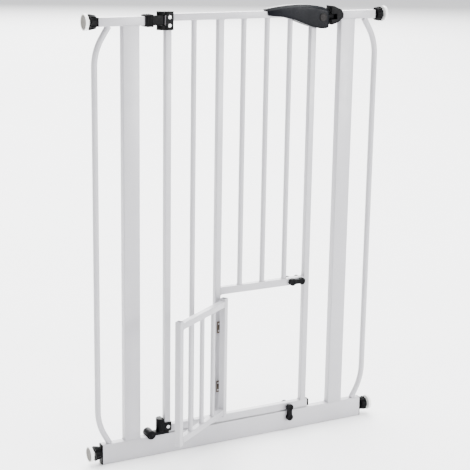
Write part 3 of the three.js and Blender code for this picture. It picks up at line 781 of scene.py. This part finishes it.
screwShape = {"radius": 0.0042, "dome": 0.0018, "sunk": 0.003, "crownShare": 0.4, "crown": 0.0004,
              "edge": 0.0007, "slotWide": 0.0011, "slotLong": 0.0046, "slotDeep": 0.0014}
screwPlaces = {"leafLowUp": 0.0105, "leafHighDown": 0.0125, "bootUp": 0.0105}
sleeve = {"edge": 0.0010, "ribs": 4, "first": 0.004, "pitch": 0.0042, "wide": 0.0018,
          "proud": 0.0009, "thick": 0.002, "ribEdge": 0.0006}
hingePin = {"radius": 0.003, "rim": 0.0008, "edge": 0.0004}
castEdges = {"leaf": 0.0016, "shoe": 0.0012, "boot": 0.0014, "block": 0.0006, "catch": 0.0016}


def crossScrew(name, spot, body):
    spot = Vector(spot)
    head = addRod(name, Y, screwShape["radius"], spot - Y * screwShape["dome"],
                  spot + Y * screwShape["sunk"], 40)
    startEdit(head)
    pickFaces(head, lambda centre, normal: normal.y < -0.9)
    bpy.ops.mesh.inset(thickness=screwShape["radius"] * screwShape["crownShare"])
    bpy.ops.transform.translate(value=(0, -screwShape["crown"], 0))
    endEdit()
    softenEdges(head, screwShape["edge"], 3, 20)
    long, wide = screwShape["slotLong"], screwShape["slotWide"]
    front = spot.y - screwShape["dome"] - cutPast["small"]
    back = spot.y - screwShape["dome"] + screwShape["slotDeep"]
    for across, tall in ((long, wide), (wide, long)):
        carve(head, addBox("slot", (spot.x - across / 2, front, spot.z - tall / 2),
                           (spot.x + across / 2, back, spot.z + tall / 2)))
    head.name = name
    finishPiece(head, zinc, body, (), 40)


def sleeveRib(count):
    low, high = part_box("upper_hinge_bracket")
    x = low.x + sleeve["first"] + count * sleeve["pitch"]
    proud = sleeve["proud"]
    rib = addBox("rib", (x, low.y - proud, low.z - proud),
                 (x + sleeve["wide"], high.y + proud, high.z + proud))
    startEdit(rib)
    pickFaces(rib, lambda centre, normal: abs(normal.x) > 0.9)
    bpy.ops.mesh.delete(type="FACE")
    endEdit()
    applyModifier(rib, "SOLIDIFY", thickness=sleeve["thick"], offset=-1)
    softenEdges(rib, sleeve["ribEdge"], 2)
    return rib


def upperHinge():
    cover = cleanCopy("upper_hinge_bracket", "upperHingeSleeve", sleeve["edge"])
    ribs = [sleeveRib(count) for count in range(sleeve["ribs"])]
    finishPiece(joinPieces("upperHingeSleeve", [cover] + ribs), black, "frame",
                ["upper_hinge_bracket"])
    leaf = cleanCopy("upper_hinge_leaf", "upperHingeLeaf", castEdges["leaf"], 4)
    finishPiece(leaf, black, "door", ["upper_hinge_leaf"])
    low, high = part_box("upper_hinge_pin")
    middle = (low + high) / 2
    pin = addRod("upperHingePin", Z, hingePin["radius"], (middle.x, middle.y, low.z),
                 (middle.x, middle.y, high.z), 32)
    startEdit(pin)
    pickFaces(pin, lambda centre, normal: abs(normal.z) > 0.9)
    bpy.ops.mesh.inset(thickness=hingePin["rim"])
    endEdit()
    softenEdges(pin, hingePin["edge"], 2)
    finishPiece(pin, zinc, "door", ["upper_hinge_pin"])


def lowerHinge():
    shoe = cleanCopy("lower_hinge_shoe", "lowerHingeShoe", castEdges["shoe"], 3, 40)
    finishPiece(shoe, black, "frame", ["lower_hinge_shoe"])
    boot = cleanCopy("lower_hinge_socket", "lowerHingeBoot", castEdges["boot"], 4, 40)
    finishPiece(boot, black, "door", ["lower_hinge_socket"])


def hingeScrews():
    stileLow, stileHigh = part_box("door_hinge_stile")
    stileX = ((stileLow + stileHigh) / 2).x
    low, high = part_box("upper_hinge_leaf")
    crossScrew("leafScrewLow", (stileX, low.y, low.z + screwPlaces["leafLowUp"]), "door")
    crossScrew("leafScrewHigh", (stileX, low.y, high.z - screwPlaces["leafHighDown"]), "door")
    low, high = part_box("lower_hinge_socket")
    crossScrew("bootScrew", (stileX, low.y, low.z + screwPlaces["bootUp"]), "door")


upperHinge()
lowerHinge()
hingeScrews()
print("hinges done")


# the butt hinges of the small door, with rivet heads on the plates

buttEdge = 0.0003
rivet = {"radius": 0.0019, "proud": 0.0008, "sunk": 0.0005, "crown": 0.0007, "edge": 0.0004,
         "fromSide": 0.0045, "fromEnd": 0.006, "plate": 0.0012}


def plateRivets(which, level, body, turned):
    low, high = nodeBox(f"{which}_{level}_hinge_leaf", turned)
    x = high.x - rivet["fromSide"] if turned else low.x + rivet["fromSide"]
    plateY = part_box("door_latch_stile")[0].y - rivet["plate"]
    heads = []
    for z in (low.z + rivet["fromEnd"], high.z - rivet["fromEnd"]):
        head = addRod("rivet", Y, rivet["radius"], (x, plateY - rivet["proud"], z),
                      (x, plateY + rivet["sunk"], z), 24)
        startEdit(head)
        pickFaces(head, lambda centre, normal: normal.y < -0.9)
        bpy.ops.mesh.inset(thickness=rivet["crown"])
        endEdit()
        softenEdges(head, rivet["edge"], 3)
        heads.append(head)
    finishPiece(joinPieces(f"{which}Rivets{level.title()}", heads), zinc, body, (), 40,
                petOpen if turned else None)


def buttHinges():
    for level in ("lower", "upper"):
        for which, body in (("door", "door"), ("pet", "pet_door")):
            node = f"{which}_{level}_hinge_leaf"
            leaf = cleanCopy(node, f"{which}Butt{level.title()}", buttEdge, 2)
            finishPiece(leaf, brownSteel, body, [node])
        plateRivets("door", level, "door", False)
        plateRivets("pet", level, "pet_door", True)


buttHinges()
print("butt hinges done")


# handle, pivot disc, block, bolt and catch

handle = {
    "stations": [  # x, top, bottom, half width
        (0.0545, 1.0580, 1.0560, 0.0050), (0.0610, 1.0594, 1.0556, 0.0095),
        (0.0622, 1.0597, 1.0440, 0.0118), (0.0660, 1.0604, 1.0428, 0.0124),
        (0.0780, 1.0622, 1.0415, 0.0140), (0.1000, 1.0652, 1.0400, 0.0160),
        (0.1250, 1.0672, 1.0345, 0.0172), (0.1500, 1.0678, 1.0250, 0.0178),
        (0.1750, 1.0665, 1.0160, 0.0180), (0.1950, 1.0640, 1.0110, 0.0180),
        (0.2120, 1.0605, 1.0095, 0.0180), (0.2210, 1.0575, 1.0105, 0.0179),
        (0.2268, 1.0540, 1.0150, 0.0176)],
    "ridgeDrop": 0.0065, "ridgeShare": 0.4, "crownShare": 0.45, "cornerIn": 0.0015,
    "fold": 0.0009, "edge": 0.0005, "channelHalf": 0.0085, "roof": 1.0550,
}
pivotShape = {"thick": 0.002, "rim": 0.0016, "sink": 0.0006, "ring": 0.0045, "rise": 0.0004,
              "edge": 0.0005, "shaft": 0.003, "shaftIn": 0.0015, "shaftEdge": 0.0003}


def sectionSpots(station):
    x, top, bottom, half = station
    ridge = top - min(handle["ridgeDrop"], (top - bottom) * handle["ridgeShare"])
    crown = half * handle["crownShare"]
    lower = bottom + handle["cornerIn"]
    tuck = half - handle["cornerIn"]
    return [(x, -crown, top), (x, -half, ridge), (x, -half, lower), (x, -tuck, bottom),
            (x, tuck, bottom), (x, half, lower), (x, half, ridge), (x, crown, top)]


def moveRing(ring, before, after):
    for vertex in ring:
        gaps = [(vertex.co.yz - Vector(spot[1:])).length for spot in before]
        vertex.co = after[gaps.index(min(gaps))]


def turnFromTop(vertex):
    return (math.atan2(vertex.co.z, vertex.co.y) - math.pi / 2) % (2 * math.pi)


def buildHandle():
    # one ring of eight points is drawn out along the rail, station by station
    deselectAll()
    bpy.ops.mesh.primitive_circle_add(vertices=8, radius=0.01, fill_type="NGON",
                                      rotation=(0, math.pi / 2, 0))
    lever = bpy.context.object
    bpy.ops.object.transform_apply(location=True, rotation=True, scale=True)
    spots = sectionSpots(handle["stations"][0])
    startEdit(lever, "VERT")
    shape = bmesh.from_edit_mesh(lever.data)
    for vertex, spot in zip(sorted(shape.verts, key=turnFromTop), spots):
        vertex.co = spot
    bmesh.update_edit_mesh(lever.data)
    bpy.ops.mesh.select_all(action="SELECT")
    for station in handle["stations"][1:]:
        pushFaces((0.001, 0, 0))
        shape = bmesh.from_edit_mesh(lever.data)
        later = sectionSpots(station)
        moveRing([v for v in shape.verts if v.select], spots, later)
        bmesh.update_edit_mesh(lever.data)
        spots = later
    bpy.ops.mesh.select_all(action="SELECT")
    bpy.ops.mesh.normals_make_consistent(inside=False)
    endEdit()
    startEdit(lever, "EDGE")
    pickEdges(lever, lambda spot, line: abs(line.x) > 0.5)
    bpy.ops.mesh.bevel(offset=handle["fold"], segments=2, affect="EDGES")
    endEdit()
    applyModifier(lever, "SUBSURF", levels=2, render_levels=2)
    half = handle["channelHalf"]
    carve(lever, addBox("channel", (0, -half, 0.9), (0.3, half, handle["roof"])))
    softenEdges(lever, handle["edge"], 2, 50)
    lever.name = "handleLever"
    finishPiece(lever, navy, "handle", ["handle_lever"], 35)


def buildPivot():
    low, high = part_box("handle_pivot_pin")
    middle = (low + high) / 2
    radius = (high.z - low.z) / 2
    disc = addRod("disc", Y, radius, (middle.x, low.y, middle.z),
                  (middle.x, low.y + pivotShape["thick"], middle.z), 64)
    startEdit(disc)
    pickFaces(disc, lambda centre, normal: normal.y < -0.9)
    bpy.ops.mesh.inset(thickness=pivotShape["rim"])
    pushFaces((0, pivotShape["sink"], 0))
    bpy.ops.mesh.inset(thickness=pivotShape["ring"])
    pushFaces((0, -pivotShape["rise"], 0))
    endEdit()
    softenEdges(disc, pivotShape["edge"], 3)
    shaft = addRod("shaft", Y, pivotShape["shaft"], (middle.x, low.y + pivotShape["shaftIn"], middle.z),
                   (middle.x, high.y, middle.z), 32)
    softenEdges(shaft, pivotShape["shaftEdge"], 2)
    finishPiece(joinPieces("handlePivot", [disc, shaft]), brown, "handle",
                ["handle_pivot_pin"])


def buildLatchParts():
    for node, name, body, kind, segments, angle in (
            ("latch_block", "latchBlock", "door", "block", 2, 40),
            ("latch_bolt", "latchBolt", "latch_bolt", "block", 2, 40),
            ("latch_catch", "latchCatch", "frame", "catch", 4, 20),
            ("door_rail_plug", "railPlug", "door", "block", 3, 30)):
        piece = cleanCopy(node, name, castEdges[kind], segments, angle)
        finishPiece(piece, black, body, [node])


buildHandle()
buildPivot()
buildLatchParts()
print("handle and catch done")


# turn latches of the small door

latch = {"thick": 0.008, "tipShare": 0.96, "waist": 0.0058, "webIn": 0.0006, "edge": 0.0018,
         "dishDeep": 0.0010, "dishes": (0.0048, 0.0042), "shaft": 0.003,
         "shaftIn": 0.001}
knobShape = {"rim": 0.0030, "dish": 0.0010, "edge": 0.0014}


def butterfly(node, body, towards):
    low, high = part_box(node)
    lying = abs(towards.x) > 0.5
    radius = (high.z - low.z if lying else high.x - low.x) / 2
    if lying:
        first = Vector((low.x + radius, 0, low.z + radius))
        second = Vector((high.x - radius, 0, low.z + radius))
    else:
        first = Vector((low.x + radius, 0, high.z - radius))
        second = Vector((low.x + radius, 0, low.z + radius))
    front = low.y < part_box("door_latch_stile")[0].y
    outward = -1 if front else 1
    faceY = low.y if front else high.y
    backY = faceY - outward * latch["thick"]
    nearY, farY = min(faceY, backY), max(faceY, backY)
    lobes = [addRod("lobe", Y, reach, (spot.x, nearY, spot.z), (spot.x, farY, spot.z), 48)
             for spot, reach in ((first, radius), (second, radius * latch["tipShare"]))]
    lean = Vector((abs(towards.z), 0, abs(towards.x))) * latch["waist"]
    webLow = Vector((min(first.x, second.x), nearY + latch["webIn"], min(first.z, second.z)))
    webHigh = Vector((max(first.x, second.x), farY - latch["webIn"], max(first.z, second.z)))
    web = addBox("web", webLow - lean, webHigh + lean)
    piece = lobes[0]
    weldOn(piece, lobes[1], web)
    softenEdges(piece, latch["edge"], 4, 40)
    dishes = [addRod("dish", Y, reach, (spot.x, faceY + outward * cutPast["dish"], spot.z),
                     (spot.x, faceY - outward * latch["dishDeep"], spot.z), 40)
              for spot, reach in zip((first, second), latch["dishes"])]
    carve(piece, *dishes)
    parts = [piece]
    if front:
        parts.append(addRod("shaft", Y, latch["shaft"], (first.x, backY - latch["shaftIn"], first.z),
                            (first.x, high.y, first.z), 32))
    finishPiece(joinPieces(node + "Moulding", parts), black, body, [node], 35)


def thumbKnob(node, body):
    low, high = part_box(node)
    middle = (low + high) / 2
    radius = (high.z - low.z) / 2
    knob = addRod("knob", Y, radius, (middle.x, low.y, middle.z), (middle.x, high.y, middle.z), 48)
    startEdit(knob)
    pickFaces(knob, lambda centre, normal: normal.y > 0.9)
    bpy.ops.mesh.inset(thickness=knobShape["rim"])
    pushFaces((0, -knobShape["dish"], 0))
    endEdit()
    softenEdges(knob, knobShape["edge"], 4)
    knob.name = node + "Moulding"
    finishPiece(knob, black, body, [node], 35)


butterfly("upper_latch_front", "upper_latch", X)
butterfly("upper_latch_back", "upper_latch", X)
butterfly("lower_latch_front", "lower_latch", -Z)
thumbKnob("lower_latch_knob", "lower_latch")
print("turn latches done")


# the floor

deselectAll()
bpy.ops.mesh.primitive_plane_add(size=floor["size"], location=(0, 0, -floor["drop"]))
ground = bpy.context.object
ground.name = "floor"
bpy.ops.object.transform_apply(location=True, rotation=True, scale=True)
ground.data.materials.append(floorPaper())

print("all pieces placed")
